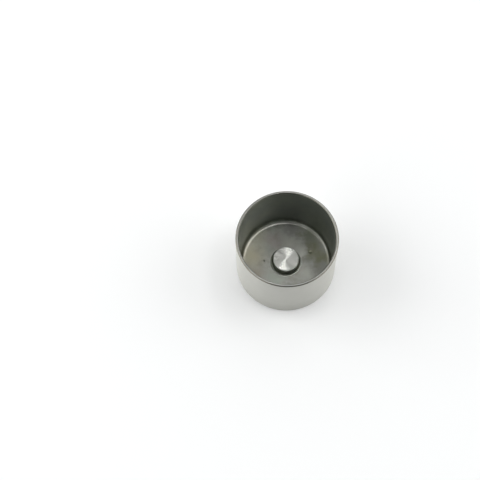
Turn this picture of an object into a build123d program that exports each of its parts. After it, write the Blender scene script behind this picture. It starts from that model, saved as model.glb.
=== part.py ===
from build123d import *

import os
from math import radians, tan

# Inverted bucket tappet: one steel cup that slides in its bore between a camshaft lobe and
# a valve stem. The lobe runs on the closed crown, and the stem bears on a raised pad inside
# it. Crown and pad together are made in graded thicknesses, which set the valve clearance
# as a loose shim would. The cup stands on its crown with the mouth up: +Z is the axis of
# the bore, and the origin is the centre of the face that the lobe runs on.
# Lengths are in millimetres and angles in degrees.

# Skirt, ground on the outside to slide in the bore of the cylinder head
BORE_DIAMETER = 35.0
RUNNING_CLEARANCE = 0.03
OVERALL_HEIGHT = 25.0
RIM_WALL = 0.95
RIM_OUTER_CHAMFER = 0.35
RIM_INNER_CHAMFER = 0.2
CROWN_CHAMFER = 0.35

# Forged cavity, narrower towards the crown
CROWN_THICKNESS = 2.2
CAVITY_DRAFT = 1.4
CORNER_RADIUS = 1.6

# Pad that the valve stem bears on
GRADED_THICKNESS = 5.1
PAD_TOP_DIAMETER = 9.0
PAD_FLANK_ANGLE = 5.0
PAD_ROOT_RADIUS = 0.8
PAD_EDGE_CHAMFER = 0.15

skirt_radius = (BORE_DIAMETER - RUNNING_CLEARANCE) / 2
mouth_radius = skirt_radius - RIM_WALL
cavity_depth = OVERALL_HEIGHT - CROWN_THICKNESS
floor_radius = mouth_radius - cavity_depth * tan(radians(CAVITY_DRAFT))
pad_height = GRADED_THICKNESS - CROWN_THICKNESS
pad_top_radius = PAD_TOP_DIAMETER / 2
pad_root_radius = pad_top_radius + pad_height * tan(radians(PAD_FLANK_ANGLE))

os.makedirs("parts", exist_ok=True)

with BuildPart() as bucket:
    # Blank: the crown and skirt as one ground cylinder
    with BuildSketch(Plane.XY):
        Circle(skirt_radius)
    extrude(amount=OVERALL_HEIGHT)
    cam_face = bucket.faces().sort_by(Axis.Z)[0]
    chamfer(cam_face.edges(), CROWN_CHAMFER)

    # Cavity: half of its section, from the pad's top out to the mouth, turned about the axis
    with BuildSketch(Plane.XZ) as cavity_section:
        with BuildLine():
            Polyline(
                (0, GRADED_THICKNESS),
                (pad_top_radius, GRADED_THICKNESS),
                (pad_root_radius, CROWN_THICKNESS),
                (floor_radius, CROWN_THICKNESS),
                (mouth_radius, OVERALL_HEIGHT),
                (0, OVERALL_HEIGHT),
                close=True,
            )
        make_face()
        pad_edge = cavity_section.vertices().group_by(Axis.Y)[1].sort_by(Axis.X)[-1]
        chamfer(pad_edge, PAD_EDGE_CHAMFER)
        pad_root = cavity_section.vertices().group_by(Axis.Y)[0].sort_by(Axis.X)[0]
        fillet(pad_root, PAD_ROOT_RADIUS)
        floor_corner = cavity_section.vertices().group_by(Axis.Y)[0].sort_by(Axis.X)[-1]
        fillet(floor_corner, CORNER_RADIUS)
    revolve(axis=Axis.Z, mode=Mode.SUBTRACT)

    # Rim: a narrow flat land between two broken edges
    rim_edges = bucket.faces().sort_by(Axis.Z)[-1].edges().sort_by(SortBy.RADIUS)
    chamfer(rim_edges[-1], RIM_OUTER_CHAMFER)
    chamfer(rim_edges[0], RIM_INNER_CHAMFER)

bucket.part.label = "bucket"
export_step(bucket.part, "parts/bucket.step")
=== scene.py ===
import logging
import math
from dataclasses import dataclass, field
from enum import Enum

import bmesh
import bpy
from mathutils import Matrix, Vector


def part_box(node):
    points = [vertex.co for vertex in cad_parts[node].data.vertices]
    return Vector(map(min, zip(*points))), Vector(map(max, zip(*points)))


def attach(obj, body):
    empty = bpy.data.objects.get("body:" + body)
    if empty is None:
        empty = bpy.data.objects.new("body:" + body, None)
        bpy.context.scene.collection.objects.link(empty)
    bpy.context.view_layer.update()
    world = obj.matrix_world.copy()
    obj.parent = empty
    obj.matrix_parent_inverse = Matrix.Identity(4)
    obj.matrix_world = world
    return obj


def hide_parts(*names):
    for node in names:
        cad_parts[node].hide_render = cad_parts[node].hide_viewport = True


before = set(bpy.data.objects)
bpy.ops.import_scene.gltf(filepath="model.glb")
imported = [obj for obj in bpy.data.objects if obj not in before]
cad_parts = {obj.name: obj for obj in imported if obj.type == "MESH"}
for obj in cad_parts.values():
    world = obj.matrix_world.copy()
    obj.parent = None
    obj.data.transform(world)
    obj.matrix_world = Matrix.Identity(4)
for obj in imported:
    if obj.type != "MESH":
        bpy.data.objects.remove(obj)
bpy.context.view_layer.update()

# The bucket stands on its cam face at the origin with its mouth up. Its sizes are written in
# millimetres, and the scene is in metres.
MM = 0.001

# What the bucket stands for in the CAD, and the box of the CAD before anything is built
CAD_NODE = "bucket"
CAD_BODY = "root"

# Crown, from the cam face to the floor of the cavity, in millimetres. The floor's stains lie at it too.
CROWN_THICKNESS = 2.2

# Way within which a face or an edge counts as lying on a surface, in millimetres
NEAR = 0.005

# Sockets of the colour mixing node, which shares its names among several kinds of value
MIX_A = 6
MIX_B = 7
MIX_RESULT = 2

# Values that a noise texture stays between nearly everywhere
NOISE_LOW = 0.3
NOISE_HIGH = 0.7

# Turn of the shader's anisotropy, in full turns, for marks that run round the axis
MARKS_ROUND_AXIS = 0.25

log = logging.getLogger("bucket_tappet")


def linear(hex_colour: str) -> tuple[float, float, float, float]:
    """Turns an sRGB colour into the linear one that the shaders work in.

    Args:
        hex_colour: Six hex digits, such as "8A8B86".

    Returns:
        Red, green, blue and a full alpha.
    """
    channels = [int(hex_colour[i:i + 2], 16) / 255 for i in (0, 2, 4)]
    red, green, blue = [c / 12.92 if c <= 0.04045 else ((c + 0.055) / 1.055) ** 2.4 for c in channels]
    return red, green, blue, 1.0


def empty_tree(owner: bpy.types.Material | bpy.types.World) -> bpy.types.NodeTree:
    """Gives a material or a world a node tree with nothing in it yet."""
    owner.use_nodes = True
    owner.node_tree.nodes.clear()
    return owner.node_tree


def add_node(tree: bpy.types.NodeTree, kind: str, values: dict | None = None, links: dict | None = None,
             **settings: object) -> bpy.types.Node:
    """Adds one node to a material or a world, set up and wired.

    Args:
        tree: The node tree that takes the node.
        kind: Blender's name for the node.
        values: Input socket, by name or number, to its value.
        links: Input socket, by name or number, to the output that feeds it.
        **settings: The node's own properties.

    Returns:
        The new node.
    """
    node = tree.nodes.new(kind)
    for name, setting in settings.items():
        setattr(node, name, setting)
    for socket, value in (values or {}).items():
        node.inputs[socket].default_value = value
    for socket, source in (links or {}).items():
        tree.links.new(source, node.inputs[socket])
    return node


def select_only(piece: bpy.types.Object) -> None:
    """Selects one object and nothing else, and makes it the active one."""
    bpy.ops.object.select_all(action="DESELECT")
    piece.select_set(True)
    bpy.context.view_layer.objects.active = piece


class Zone(Enum):
    """The bucket's surfaces, each with the number of the material slot that its finish goes in."""

    CAM_FACE = 0
    SKIRT = 1
    RIM_LAND = 2
    RIM_EDGE = 3
    CAVITY_WALL = 4
    CAVITY_FLOOR = 5
    PAD_FLANK = 6
    PAD_TOP = 7


@dataclass(frozen=True)
class SteelFinish:
    """A finish of the bucket's case-hardened steel.

    Attributes:
        name: The material's name, in a maker's words or by the shade that its colour paints.
        colour: sRGB hex of the bare surface.
        roughness: How far the finish spreads a reflection.
        grain: Anisotropy across the tool's marks, which run round the axis.
    """

    name: str
    colour: str
    roughness: float
    grain: float = 0.0

    def build(self) -> bpy.types.Material:
        """Makes the material with its shader and this finish's pattern.

        Returns:
            The finished material.
        """
        material = bpy.data.materials.new(self.name)
        tree = empty_tree(material)
        steel = add_node(
            tree,
            "ShaderNodeBsdfPrincipled",
            {
                "Base Color": linear(self.colour),
                "Metallic": 1.0,
                "Roughness": self.roughness,
                "Anisotropic": self.grain,
                "Anisotropic Rotation": MARKS_ROUND_AXIS,
            },
        )
        place = add_node(tree, "ShaderNodeTexCoord")
        self.pattern(tree, steel, place.outputs["Object"])
        add_node(tree, "ShaderNodeOutputMaterial", links={"Surface": steel.outputs["BSDF"]})
        return material

    def pattern(self, tree: bpy.types.NodeTree, steel: bpy.types.Node, place: bpy.types.NodeSocket) -> None:
        """Adds what the surface shows beyond its even colour, which is nothing on a plain finish."""

    def vary_gloss(self, tree: bpy.types.NodeTree, steel: bpy.types.Node, noise: bpy.types.NodeSocket,
                   change: float) -> None:
        """Moves the roughness up and down with a noise.

        Args:
            tree: The material's node tree.
            steel: The Principled shader.
            noise: Noise with a mean of one half.
            change: How far the roughness moves to each side.
        """
        gloss = add_node(
            tree,
            "ShaderNodeMapRange",
            {
                "From Min": NOISE_LOW,
                "From Max": NOISE_HIGH,
                "To Min": self.roughness - change,
                "To Max": self.roughness + change,
            },
            {"Value": noise},
        )
        tree.links.new(gloss.outputs["Result"], steel.inputs["Roughness"])

    def emboss(self, tree: bpy.types.NodeTree, steel: bpy.types.Node, noise: bpy.types.NodeSocket,
               depth: float) -> None:
        """Gives the surface the relief of a noise.

        Args:
            tree: The material's node tree.
            steel: The Principled shader.
            noise: Height of the relief, from 0 to 1.
            depth: Its full height in millimetres.
        """
        relief = add_node(
            tree, "ShaderNodeBump", {"Strength": 1.0, "Distance": depth * MM}, {"Height": noise}
        )
        tree.links.new(relief.outputs["Normal"], steel.inputs["Normal"])


@dataclass(frozen=True)
class MachinedSteel(SteelFinish):
    """Steel that a wheel or a turning tool has scored in fine lines round the axis.

    Attributes:
        spacing: Way between the lines that show, in millimetres.
        depth: Height of the lines in millimetres.
        waver: How fast a line changes along its length, as a share of how fast it does across.
        shade: Share of its colour that the steel loses where a line is deepest.
        gloss_change: How far handling has moved the roughness up and down.
        smudge_size: Width of the smudges that handling leaves, in millimetres.
        swirl: Turn of the lines off the true circle, in degrees, greatest at the axis.
        swirl_radius: Radius in millimetres past which the lines are true circles.
    """

    spacing: float = 0.3
    depth: float = 0.002
    waver: float = 0.02
    shade: float = 0.06
    gloss_change: float = 0.03
    smudge_size: float = 6.0
    swirl: float = 0.0
    swirl_radius: float = 3.0

    def pattern(self, tree: bpy.types.NodeTree, steel: bpy.types.Node, place: bpy.types.NodeSocket) -> None:
        """Lays the tool's lines in colour, gloss and relief.

        Args:
            tree: The material's node tree.
            steel: The Principled shader.
            place: The object coordinates.
        """
        flat = add_node(tree, "ShaderNodeVectorMath", {1: (1, 1, 0)}, {0: place}, operation="MULTIPLY")
        out = add_node(tree, "ShaderNodeVectorMath", links={0: flat.outputs["Vector"]}, operation="LENGTH")
        axes = add_node(tree, "ShaderNodeSeparateXYZ", links={"Vector": place})
        rings = add_node(
            tree, "ShaderNodeCombineXYZ", links={"X": out.outputs["Value"], "Z": axes.outputs["Z"]}
        )
        round_axis = add_node(
            tree,
            "ShaderNodeVectorMath",
            {1: (self.waver, self.waver, 0)},
            {0: place, 2: rings.outputs["Vector"]},
            operation="MULTIPLY_ADD",
        )
        lines = add_node(
            tree,
            "ShaderNodeTexNoise",
            {"Scale": 1 / (self.spacing * MM), "Detail": 2.0},
            {"Vector": round_axis.outputs["Vector"]},
        )
        red, green, blue, _ = linear(self.colour)
        lit = 1 - self.shade
        tint = add_node(
            tree,
            "ShaderNodeMix",
            {MIX_A: (red * lit, green * lit, blue * lit, 1), MIX_B: (red, green, blue, 1)},
            {"Factor": lines.outputs["Fac"]},
            data_type="RGBA",
        )
        tree.links.new(tint.outputs[MIX_RESULT], steel.inputs["Base Color"])
        if self.depth:
            self.emboss(tree, steel, lines.outputs["Fac"], self.depth)
        if self.gloss_change:
            smudges = add_node(
                tree,
                "ShaderNodeTexNoise",
                {"Scale": 1 / (self.smudge_size * MM), "Detail": 3.0},
                {"Vector": place},
            )
            self.vary_gloss(tree, steel, smudges.outputs["Fac"], self.gloss_change)
        if self.swirl:
            self.turn_lines(tree, steel, flat, out)

    def turn_lines(self, tree: bpy.types.NodeTree, steel: bpy.types.Node, flat: bpy.types.Node,
                   out: bpy.types.Node) -> None:
        """Turns the lines' direction off the circle, more towards the axis.

        Args:
            tree: The material's node tree.
            steel: The Principled shader.
            flat: The node with the place at right angles to the axis.
            out: The node with the distance from the axis.
        """
        # A quarter turn off the way out from the axis is the way round it
        turn = add_node(
            tree,
            "ShaderNodeMapRange",
            {
                "From Min": 0.0,
                "From Max": self.swirl_radius * MM,
                "To Min": math.radians(90 + self.swirl),
                "To Max": math.radians(90),
            },
            {"Value": out.outputs["Value"]},
        )
        along = add_node(
            tree,
            "ShaderNodeVectorRotate",
            links={"Vector": flat.outputs["Vector"], "Angle": turn.outputs["Result"]},
            rotation_type="Z_AXIS",
        )
        tree.links.new(along.outputs["Vector"], steel.inputs["Tangent"])


@dataclass(frozen=True)
class Stain:
    """A soft patch of temper colour or dried oil on the floor of the cup.

    Attributes:
        x: Its centre, to the right of the axis, in millimetres.
        y: Its centre, behind the axis, in millimetres.
        reach: How far it spreads from its centre, in millimetres.
        colour: sRGB hex of the steel in it.
        strength: Share of that colour at the centre.
    """

    x: float
    y: float
    reach: float
    colour: str
    strength: float


@dataclass(frozen=True)
class ForgedSteel(SteelFinish):
    """Steel as the forging punch and the hardening oven left it: dull, clouded and fine-grained.

    Attributes:
        clouding: sRGB hex of the steel where oxide clouds it.
        cloud_size: Width of the clouds in millimetres.
        clear_below: Noise up to which the steel is clear of oxide.
        clouded_above: Noise from which the oxide is at its thickest.
        grain_size: Width of the surface's grains in millimetres.
        grain_depth: Height of the grains in millimetres.
        gloss_change: How far the oxide moves the roughness up and down.
        raggedness: How far a stain's outline wanders, in millimetres.
        stains: The patches on the floor.
    """

    clouding: str = "929893"
    cloud_size: float = 7.0
    clear_below: float = 0.4
    clouded_above: float = 0.65
    grain_size: float = 0.35
    grain_depth: float = 0.004
    gloss_change: float = 0.03
    raggedness: float = 7.0
    stains: tuple[Stain, ...] = ()

    def pattern(self, tree: bpy.types.NodeTree, steel: bpy.types.Node, place: bpy.types.NodeSocket) -> None:
        """Lays the clouds, the stains and the grain.

        Args:
            tree: The material's node tree.
            steel: The Principled shader.
            place: The object coordinates.
        """
        clouds = add_node(
            tree,
            "ShaderNodeTexNoise",
            {"Scale": 1 / (self.cloud_size * MM), "Detail": 6.0, "Roughness": 0.65},
            {"Vector": place},
        )
        share = add_node(
            tree,
            "ShaderNodeMapRange",
            {"From Min": self.clear_below, "From Max": self.clouded_above},
            {"Value": clouds.outputs["Fac"]},
        )
        colour = add_node(
            tree,
            "ShaderNodeMix",
            {MIX_A: linear(self.colour), MIX_B: linear(self.clouding)},
            {"Factor": share.outputs["Result"]},
            data_type="RGBA",
        )
        stained = self.stain(tree, colour.outputs[MIX_RESULT], clouds.outputs["Color"], place)
        tree.links.new(stained, steel.inputs["Base Color"])
        self.vary_gloss(tree, steel, clouds.outputs["Fac"], self.gloss_change)
        grains = add_node(
            tree,
            "ShaderNodeTexNoise",
            {"Scale": 1 / (self.grain_size * MM), "Detail": 2.0},
            {"Vector": place},
        )
        self.emboss(tree, steel, grains.outputs["Fac"], self.grain_depth)

    def stain(self, tree: bpy.types.NodeTree, colour: bpy.types.NodeSocket, clouds: bpy.types.NodeSocket,
              place: bpy.types.NodeSocket) -> bpy.types.NodeSocket:
        """Lays each stain over the colour, with an outline that wanders with the clouds.

        Args:
            tree: The material's node tree.
            colour: The colour under the stains.
            clouds: Noise with a mean of one half in each channel.
            place: The object coordinates.

        Returns:
            The stained colour.
        """
        wander = self.raggedness * MM
        shift = add_node(
            tree,
            "ShaderNodeVectorMath",
            {1: (wander, wander, 0), 2: (-wander / 2, -wander / 2, 0)},
            {0: clouds},
            operation="MULTIPLY_ADD",
        )
        ragged = add_node(
            tree, "ShaderNodeVectorMath", links={0: place, 1: shift.outputs["Vector"]}, operation="ADD"
        )
        for stain in self.stains:
            centre = (stain.x * MM, stain.y * MM, CROWN_THICKNESS * MM)
            away = add_node(
                tree, "ShaderNodeVectorMath", {1: centre}, {0: ragged.outputs["Vector"]}, operation="DISTANCE"
            )
            share = add_node(
                tree,
                "ShaderNodeMapRange",
                {"From Min": stain.reach * MM, "From Max": 0.0, "To Min": 0.0, "To Max": stain.strength},
                {"Value": away.outputs["Value"]},
                interpolation_type="SMOOTHSTEP",
            )
            laid = add_node(
                tree,
                "ShaderNodeMix",
                {MIX_B: linear(stain.colour)},
                {"Factor": share.outputs["Result"], MIX_A: colour},
                data_type="RGBA",
            )
            colour = laid.outputs[MIX_RESULT]
        return colour


# Tool marks and forged grain are drawn several times coarser than the real ones, which no picture would show
FINISHES = {
    # Lapped flat to run under the lobe: smooth, with faint rings
    Zone.CAM_FACE: MachinedSteel(
        "case_hardened_steel_lapped", "BFC0BB", roughness=0.22, grain=0.3, depth=0.001
    ),
    # Centreless ground: a satin that draws reflections out into wide upright bands
    Zone.SKIRT: MachinedSteel(
        "case_hardened_steel_centreless_ground",
        "C1C1BB",
        roughness=0.42,
        grain=0.8,
        spacing=0.4,
        depth=0.001,
    ),
    # Face ground and handled: a little darker than the skirt, and even all round
    Zone.RIM_LAND: MachinedSteel(
        "case_hardened_steel_face_ground", "A9AAA5", roughness=0.3, spacing=0.25
    ),
    # Edges broken before hardening, given a colour far darker than the land's: painted shade that draws the
    # thin dark lines which frame the land
    Zone.RIM_EDGE: SteelFinish("rim_chamfer_steel_painted_shade", "76746B", roughness=0.3),
    # Ironed straight by the punch, then hardened: dark grey and hardly clouded
    Zone.CAVITY_WALL: ForgedSteel("case_hardened_steel_ironed", "989D94", roughness=0.43),
    # Cold forged, then hardened: dark and clouded, beige where oil has dried and olive where it was hottest
    Zone.CAVITY_FLOOR: ForgedSteel(
        "case_hardened_steel_cold_forged",
        "A3A49E",
        roughness=0.33,
        clouding="8B8C84",
        cloud_size=3.5,
        stains=(
            Stain(-12.0, 3.0, 7.5, "A6A18F", 1.0),
            Stain(-13.0, 7.0, 4.0, "B6B3A8", 0.8),
            Stain(-9.0, 9.5, 5.0, "9A988A", 0.8),
            Stain(-11.0, -4.0, 5.0, "959185", 0.9),
            Stain(-4.0, 8.5, 5.0, "9A9490", 0.7),
            Stain(-4.0, -6.0, 5.0, "9FA59C", 0.8),
            Stain(-6.0, 4.5, 4.0, "8F938B", 0.6),
            Stain(9.8, 5.5, 4.5, "7E7E6B", 0.9),
            Stain(12.8, 1.0, 5.0, "81816C", 0.9),
            Stain(9.0, 9.5, 5.0, "787B6E", 0.8),
            Stain(12.0, -4.0, 5.0, "8A8A84", 0.8),
            Stain(2.5, 13.0, 5.0, "868683", 0.9),
            Stain(2.5, 7.0, 4.5, "ADADA5", 0.8),
            Stain(6.0, 3.5, 3.5, "BEBFB7", 0.8),
            Stain(8.0, -5.0, 4.5, "ABACA5", 0.7),
            Stain(9.0, 2.8, 2.8, "82826A", 0.6),
        ),
    ),
    # Left by the corner of the turning tool: smoother than the floor, so its foot catches a thin bright line
    Zone.PAD_FLANK: SteelFinish("case_hardened_steel_rough_turned", "93948D", roughness=0.2),
    # Turned flat: bright fans that run out from the axis to both sides
    Zone.PAD_TOP: MachinedSteel(
        "case_hardened_steel_turned",
        "E3E4DE",
        roughness=0.23,
        grain=1.0,
        depth=0.0,
        gloss_change=0.0,
        swirl=22.0,
    ),
}


@dataclass(frozen=True)
class Dent:
    """A round dent in the floor of the cup.

    Attributes:
        x: Its centre, to the right of the axis, in millimetres.
        y: Its centre, behind the axis, in millimetres.
        width: Its width at the surface, in millimetres.
        depth: Its depth in millimetres.
        segments: Faces round the ball that cuts it.
        rings: Faces from the foot to the top of that ball.
    """

    x: float
    y: float
    width: float
    depth: float
    segments: int = 64
    rings: int = 48

    def press(self, piece: bpy.types.Object, level: float) -> None:
        """Cuts the dent with a ball that fits its width and depth, and keeps its border crisp.

        Args:
            piece: The bucket, in object mode.
            level: Height of the cup's floor in millimetres.
        """
        ball_radius = (self.width**2 / 4 + self.depth**2) / (2 * self.depth)
        bpy.ops.object.select_all(action="DESELECT")
        bpy.ops.mesh.primitive_uv_sphere_add(
            segments=self.segments,
            ring_count=self.rings,
            radius=ball_radius * MM,
            location=(self.x * MM, self.y * MM, (level - self.depth + ball_radius) * MM),
        )
        ball = bpy.context.object
        cut = piece.modifiers.new("dent", "BOOLEAN")
        cut.operation = "DIFFERENCE"
        cut.solver = "EXACT"
        cut.object = ball
        select_only(piece)
        bpy.ops.object.modifier_apply(modifier=cut.name)
        bpy.data.objects.remove(ball)
        centre = Vector((self.x, self.y, level)) * MM
        for edge in piece.data.edges:
            reach = [(piece.data.vertices[i].co - centre).length / MM for i in edge.vertices]
            edge.use_edge_sharp |= all(abs(r - self.width / 2) < NEAR for r in reach)


@dataclass
class Bucket:
    """The bucket: crown, skirt and pad in one piece of steel. Sizes are in millimetres.

    Attributes:
        rim_wall: Wall of the skirt at the mouth.
        rim_outer_chamfer: Broken outer edge of the rim.
        rim_inner_chamfer: Broken inner edge of the rim.
        crown_chamfer: Broken edge of the crown.
        crown_thickness: Crown, from the cam face to the floor of the cavity.
        cavity_draft: Taper of the cavity's wall, in degrees.
        corner_radius: Blend between the cavity's wall and its floor.
        graded_thickness: Crown and pad together.
        pad_top_diameter: Pad at its top, before its edge is broken.
        pad_flank_angle: Slope of the pad's flank, in degrees from the axis.
        pad_root_radius: Blend between the pad's flank and the floor.
        pad_edge_chamfer: Broken edge of the pad's top.
        edge_break: Rounding that tumbling leaves on every hard edge.
        hard_angle: Turn from face to face past which an edge is hard, in degrees.
        smooth_angle: Turn from face to face up to which the shading runs on, in degrees.
        dents: The dents in the cavity's floor.
        segments: Faces round the axis.
        corner_steps: Faces across the blend between the cavity's wall and its floor.
        pad_root_steps: Faces across the blend at the pad's root.
        edge_break_steps: Faces across each rounded hard edge.
        radius: Radius of the skirt.
        height: Height over all.
        mouth_radius: Radius of the cavity at the mouth.
        cavity_depth: Depth of the cavity, from the rim to its floor.
        floor_radius: Radius of the cavity at its floor, before the corner is blended.
        pad_height: Height of the pad above the floor.
        pad_radius: Radius of the pad at its top.
        root_radius: Radius of the pad at its foot, before the root is blended.
    """

    rim_wall: float = 0.95
    rim_outer_chamfer: float = 0.35
    rim_inner_chamfer: float = 0.2
    crown_chamfer: float = 0.35
    crown_thickness: float = CROWN_THICKNESS
    cavity_draft: float = 1.4
    corner_radius: float = 1.6
    graded_thickness: float = 5.1
    pad_top_diameter: float = 9.0
    pad_flank_angle: float = 5.0
    pad_root_radius: float = 0.8
    pad_edge_chamfer: float = 0.15
    edge_break: float = 0.03
    hard_angle: float = 15.0
    smooth_angle: float = 35.0
    dents: tuple[Dent, ...] = (Dent(8.9, 3.5, 1.5, 0.18), Dent(-7.8, 0.75, 0.8, 0.38))
    segments: int = 256
    corner_steps: int = 10
    pad_root_steps: int = 8
    edge_break_steps: int = 2
    radius: float = field(init=False)
    height: float = field(init=False)
    mouth_radius: float = field(init=False)
    cavity_depth: float = field(init=False)
    floor_radius: float = field(init=False)
    pad_height: float = field(init=False)
    pad_radius: float = field(init=False)
    root_radius: float = field(init=False)

    def __post_init__(self) -> None:
        """Takes the outer size from the frame and works out what depends on it."""
        _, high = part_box(CAD_NODE)
        self.radius = high.x / MM
        self.height = high.z / MM
        self.mouth_radius = self.radius - self.rim_wall
        self.cavity_depth = self.height - self.crown_thickness
        self.floor_radius = self.mouth_radius - self.cavity_depth * math.tan(math.radians(self.cavity_draft))
        self.pad_height = self.graded_thickness - self.crown_thickness
        self.pad_radius = self.pad_top_diameter / 2
        self.root_radius = self.pad_radius + self.pad_height * math.tan(math.radians(self.pad_flank_angle))

    def build(self) -> bpy.types.Object:
        """Models the bucket, dresses it and puts it on its CAD body.

        Returns:
            The finished piece.
        """
        piece = self.blank()
        self.sink_cavity()
        self.raise_pad()
        self.break_edges(piece)
        bpy.ops.object.mode_set(mode="OBJECT")
        self.soften(piece)
        for dent in self.dents:
            dent.press(piece, self.crown_thickness)
        self.shade(piece)
        self.dress(piece)
        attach(piece, CAD_BODY)
        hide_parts(CAD_NODE)
        return piece

    def blank(self) -> bpy.types.Object:
        """Adds the outer cylinder and leaves it in edit mode with its top face selected.

        Returns:
            The new object.
        """
        bpy.ops.object.select_all(action="DESELECT")
        bpy.ops.mesh.primitive_cylinder_add(
            vertices=self.segments,
            radius=self.radius * MM,
            depth=self.height * MM,
            location=(0, 0, self.height * MM / 2),
        )
        piece = bpy.context.object
        piece.name = "lifter_bucket"
        bpy.ops.object.transform_apply(location=True)
        bpy.ops.object.mode_set(mode="EDIT")
        bpy.ops.mesh.select_mode(type="FACE")
        bpy.ops.mesh.select_all(action="DESELECT")
        shell = bmesh.from_edit_mesh(piece.data)
        for face in shell.faces:
            face.select_set(face.normal.z > 0.5)
        bmesh.update_edit_mesh(piece.data)
        return piece

    def sink_cavity(self) -> None:
        """Insets the top face to the mouth and sinks it, narrowing, to the cavity's floor."""
        bpy.ops.mesh.inset(thickness=self.rim_wall * MM)
        self.extrude(-self.cavity_depth, self.floor_radius / self.mouth_radius, self.crown_thickness)

    def raise_pad(self) -> None:
        """Insets the floor to the pad's root and raises it, narrowing, to the pad's top."""
        bpy.ops.mesh.inset(thickness=(self.floor_radius - self.root_radius) * MM)
        self.extrude(self.pad_height, self.pad_radius / self.root_radius, self.graded_thickness)

    def extrude(self, rise: float, shrink: float, level: float) -> None:
        """Extrudes the selected face by its rise to its new level, and shrinks it about the axis."""
        bpy.ops.mesh.extrude_region_move(TRANSFORM_OT_translate={"value": (0, 0, rise * MM)})
        bpy.ops.transform.resize(value=(shrink, shrink, 1), center_override=(0, 0, level * MM))

    def break_edges(self, piece: bpy.types.Object) -> None:
        """Chamfers the ground edges and blends the forged corners.

        Args:
            piece: The bucket, in edit mode.
        """
        corner_run = self.corner_radius / math.tan(math.radians(90 + self.cavity_draft) / 2)
        root_run = self.pad_root_radius / math.tan(math.radians(90 + self.pad_flank_angle) / 2)
        bevels = [
            (self.radius, 0.0, self.crown_chamfer, 1),
            (self.radius, self.height, self.rim_outer_chamfer, 1),
            (self.mouth_radius, self.height, self.rim_inner_chamfer, 1),
            (self.pad_radius, self.graded_thickness, self.pad_edge_chamfer, 1),
            (self.floor_radius, self.crown_thickness, corner_run, self.corner_steps),
            (self.root_radius, self.crown_thickness, root_run, self.pad_root_steps),
        ]
        for radius, level, offset, steps in bevels:
            self.select_ring(piece, radius, level)
            bpy.ops.mesh.bevel(offset=offset * MM, segments=steps, profile=0.5, affect="EDGES")

    def select_ring(self, piece: bpy.types.Object, radius: float, level: float) -> None:
        """Selects the ring of edges at one radius and height.

        Args:
            piece: The bucket, in edit mode.
            radius: Radius of the ring in millimetres.
            level: Height of the ring in millimetres.
        """
        bpy.ops.mesh.select_mode(type="EDGE")
        bpy.ops.mesh.select_all(action="DESELECT")
        shell = bmesh.from_edit_mesh(piece.data)
        for edge in shell.edges:
            off = [max(abs(v.co.xy.length / MM - radius), abs(v.co.z / MM - level)) for v in edge.verts]
            edge.select_set(max(off) < NEAR)
        bmesh.update_edit_mesh(piece.data)

    def soften(self, piece: bpy.types.Object) -> None:
        """Rounds every hard edge a little, as tumbling leaves it.

        Args:
            piece: The bucket, in object mode.
        """
        select_only(piece)
        edge = piece.modifiers.new("edge_break", "BEVEL")
        edge.width = self.edge_break * MM
        edge.segments = self.edge_break_steps
        edge.limit_method = "ANGLE"
        edge.angle_limit = math.radians(self.hard_angle)
        bpy.ops.object.modifier_apply(modifier=edge.name)

    def shade(self, piece: bpy.types.Object) -> None:
        """Shades the piece smooth and keeps its flat faces flat.

        Args:
            piece: The bucket, in object mode.
        """
        select_only(piece)
        bpy.ops.object.shade_smooth_by_angle(angle=math.radians(self.smooth_angle))
        normals = piece.modifiers.new("flat_faces", "WEIGHTED_NORMAL")
        normals.keep_sharp = True
        bpy.ops.object.modifier_apply(modifier=normals.name)

    def zone_of(self, centre: Vector) -> Zone:
        """Names the surface that a face belongs to.

        Args:
            centre: The face's centre in metres.

        Returns:
            The surface's zone.
        """
        out = centre.xy.length / MM
        up = centre.z / MM
        if up > self.height - NEAR:
            return Zone.RIM_LAND
        if up > self.height - self.rim_outer_chamfer and out > self.mouth_radius - NEAR:
            return Zone.RIM_EDGE
        if up > self.graded_thickness - self.pad_edge_chamfer and out < self.root_radius:
            return Zone.PAD_TOP
        if out > self.radius - NEAR:
            return Zone.SKIRT
        if up < self.crown_chamfer:
            return Zone.CAM_FACE
        if up > self.crown_thickness + self.corner_radius and out > self.floor_radius:
            return Zone.CAVITY_WALL
        if up > self.crown_thickness + NEAR and out < self.root_radius + self.pad_root_radius:
            return Zone.PAD_FLANK
        return Zone.CAVITY_FLOOR

    def dress(self, piece: bpy.types.Object) -> None:
        """Gives each zone its finish.

        Args:
            piece: The bucket, in object mode.
        """
        for zone in Zone:
            piece.data.materials.append(FINISHES[zone].build())
        for face in piece.data.polygons:
            face.material_index = self.zone_of(face.center).value


@dataclass(frozen=True)
class Softbox:
    """A rectangular soft lamp that faces the bucket from a set way off.

    Attributes:
        name: The lamp's name.
        azimuth: Its direction round the axis, in degrees from the right towards the back.
        elevation: Its angle above the floor in degrees.
        width: How wide it looks from the bucket, in degrees.
        height: How high it looks from the bucket, in degrees.
        radiance: Brightness of its face.
        roll: Turn of the lamp about the line to the bucket, in degrees.
        distance: Way to the bucket in metres.
    """

    name: str
    azimuth: float
    elevation: float
    width: float
    height: float
    radiance: float
    roll: float = 0.0
    distance: float = 1.0

    def build(self) -> None:
        """Hangs the lamp."""
        light = bpy.data.lights.new(self.name, "AREA")
        light.shape = "RECTANGLE"
        light.size = 2 * self.distance * math.tan(math.radians(self.width / 2))
        light.size_y = 2 * self.distance * math.tan(math.radians(self.height / 2))
        light.energy = math.pi * light.size * light.size_y * self.radiance
        lamp = bpy.data.objects.new(self.name, light)
        turn = (
            Matrix.Rotation(math.radians(self.azimuth + 90), 4, "Z")
            @ Matrix.Rotation(math.radians(90 - self.elevation), 4, "X")
            @ Matrix.Rotation(math.radians(self.roll), 4, "Z")
        )
        lamp.matrix_world = turn @ Matrix.Translation((0, 0, self.distance))
        bpy.context.scene.collection.objects.link(lamp)


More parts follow.
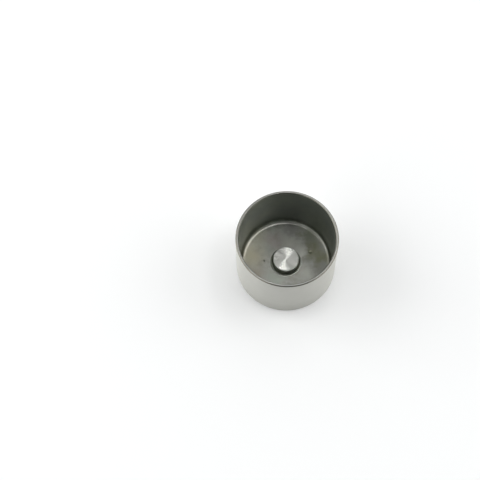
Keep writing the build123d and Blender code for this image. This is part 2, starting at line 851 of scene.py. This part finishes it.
@dataclass(frozen=True)
class Studio:
    """A pale sheet in a room with pale walls and a dim ceiling, lit by soft lamps.

    Attributes:
        sheet_colour: sRGB hex of the paper that the bucket stands on.
        sheet_roughness: Roughness of the paper.
        sheet_gloss: Specular level of the paper.
        sheet_size: Side of the square sheet in metres.
        ceiling: Brightness of the room overhead.
        walls: How much brighter the room is at the horizon.
        wall_rise: Sine of the angle at which the walls give way to the ceiling.
        photographer: How much of the walls' light the photographer keeps off, at the darkest.
        photographer_elevation: How high the photographer's middle stands above the floor, in degrees.
        photographer_reach: How far the photographer darkens the room to each side, in degrees.
        lamps: The soft lamps.
    """

    sheet_colour: str = "F8F9F9"
    sheet_roughness: float = 0.95
    sheet_gloss: float = 0.2
    sheet_size: float = 3.0
    ceiling: float = 0.17
    walls: float = 1.9
    wall_rise: float = 0.5
    photographer: float = 1.0
    photographer_elevation: float = 18.0
    photographer_reach: float = 60.0
    lamps: tuple[Softbox, ...] = (
        Softbox("overhead_panel", 116.0, 81.4, 12.0, 3.2, 11.6, roll=-26.0),
        Softbox("overhead_bar", -17.0, 78.0, 25.0, 4.0, 8.0, roll=82.0),
        Softbox("high_back_lamp", 43.0, 62.0, 4.0, 4.0, 10.2),
        Softbox("high_right_box", 13.0, 67.0, 18.0, 7.0, 4.9),
        Softbox("left_window", 167.0, 30.0, 40.0, 40.0, 2.35),
        Softbox("right_window", 7.0, 37.0, 32.0, 32.0, 1.75),
        Softbox("back_window", 68.0, 54.0, 21.0, 21.0, 1.1),
        Softbox("near_left_window", -140.0, 33.0, 36.0, 36.0, 0.8),
    )

    def build(self) -> None:
        """Makes the sheet, the room and the lamps."""
        self.sheet()
        self.room()
        for lamp in self.lamps:
            lamp.build()

    def sheet(self) -> None:
        """Lays the paper that the bucket stands on."""
        bpy.ops.object.select_all(action="DESELECT")
        bpy.ops.mesh.primitive_plane_add(size=self.sheet_size, location=(0, 0, 0))
        paper = bpy.context.object
        paper.name = "studio_floor"
        material = bpy.data.materials.new("matt_white_paper")
        tree = empty_tree(material)
        sheet = add_node(
            tree,
            "ShaderNodeBsdfPrincipled",
            {
                "Base Color": linear(self.sheet_colour),
                "Roughness": self.sheet_roughness,
                "Specular IOR Level": self.sheet_gloss,
            },
        )
        add_node(tree, "ShaderNodeOutputMaterial", links={"Surface": sheet.outputs["BSDF"]})
        paper.data.materials.append(material)

    def room(self) -> None:
        """Makes the surrounding light: bright walls, a dim ceiling and the photographer's dark shape."""
        world = bpy.data.worlds.new("pale_room")
        bpy.context.scene.world = world
        tree = empty_tree(world)
        way = add_node(tree, "ShaderNodeTexCoord")
        axes = add_node(tree, "ShaderNodeSeparateXYZ", links={"Vector": way.outputs["Generated"]})
        rise = add_node(
            tree, "ShaderNodeMath", {1: self.wall_rise}, {0: axes.outputs["Z"]}, operation="DIVIDE"
        )
        square = add_node(tree, "ShaderNodeMath", {1: 2.0}, {0: rise.outputs["Value"]}, operation="POWER")
        fall = add_node(tree, "ShaderNodeMath", {1: -1.0}, {0: square.outputs["Value"]}, operation="MULTIPLY")
        band = add_node(tree, "ShaderNodeMath", links={0: fall.outputs["Value"]}, operation="EXPONENT")
        lean = math.radians(self.photographer_elevation)
        towards = add_node(
            tree,
            "ShaderNodeVectorMath",
            {1: (0, -math.cos(lean), math.sin(lean))},
            {0: way.outputs["Generated"]},
            operation="DOT_PRODUCT",
        )
        shade = add_node(
            tree,
            "ShaderNodeMapRange",
            {
                "From Min": math.cos(math.radians(self.photographer_reach)),
                "From Max": 1.0,
                "To Min": 1.0,
                "To Max": 1 - self.photographer,
            },
            {"Value": towards.outputs["Value"]},
            interpolation_type="SMOOTHSTEP",
        )
        open_walls = add_node(
            tree,
            "ShaderNodeMath",
            links={0: band.outputs["Value"], 1: shade.outputs["Result"]},
            operation="MULTIPLY",
        )
        light = add_node(
            tree,
            "ShaderNodeMath",
            {1: self.walls, 2: self.ceiling},
            {0: open_walls.outputs["Value"]},
            operation="MULTIPLY_ADD",
        )
        around = add_node(tree, "ShaderNodeBackground", {"Strength": 1.0}, {"Color": light.outputs["Value"]})
        add_node(tree, "ShaderNodeOutputWorld", links={"Surface": around.outputs["Background"]})


@dataclass(frozen=True)
class PhotoCamera:
    """The camera where circles fitted to the photograph place it. Its place is in skirt radii.

    Attributes:
        lens: Focal length in millimetres.
        sensor_width: Width of the sensor in millimetres.
        clip_start: Way in metres from the camera within which it sees nothing.
        elevation: Angle of the view above the horizon, in degrees.
        roll: Turn of the picture, in degrees.
        distance: Way along the view from the rim's centre.
        right: How far the rim's centre lies to the right of the view's axis.
        up: How far it lies above that axis.
    """

    lens: float = 90.0
    sensor_width: float = 36.0
    clip_start: float = 0.01
    elevation: float = 68.27
    roll: float = -2.28
    distance: float = 23.17
    right: float = 0.911
    up: float = 0.030

    def build(self, bucket: Bucket) -> None:
        """Makes the scene's camera.

        Args:
            bucket: The piece that it looks at.
        """
        data = bpy.data.cameras.new("photo_camera")
        data.lens = self.lens
        data.sensor_width = self.sensor_width
        data.clip_start = self.clip_start
        camera = bpy.data.objects.new("photo_camera", data)
        tilt = Matrix.Rotation(math.radians(90 - self.elevation), 4, "X")
        turn = tilt @ Matrix.Rotation(math.radians(self.roll), 4, "Z")
        rim_centre = Vector((0, 0, (bucket.height - bucket.rim_outer_chamfer) * MM))
        back = turn @ Vector((-self.right, -self.up, self.distance)) * bucket.radius * MM
        camera.matrix_world = Matrix.Translation(rim_centre + back) @ turn
        bpy.context.scene.collection.objects.link(camera)
        bpy.context.scene.camera = camera


def main() -> None:
    """Builds the bucket, the studio and the camera, and reports the piece."""
    logging.basicConfig(level=logging.INFO, format="%(name)s: %(message)s")
    bucket = Bucket()
    piece = bucket.build()
    log.info("%s: %d faces", piece.name, len(piece.data.polygons))
    Studio().build()
    PhotoCamera().build(bucket)
    bpy.context.scene.view_settings.view_transform = "Standard"


if __name__ == "__main__":
    main()
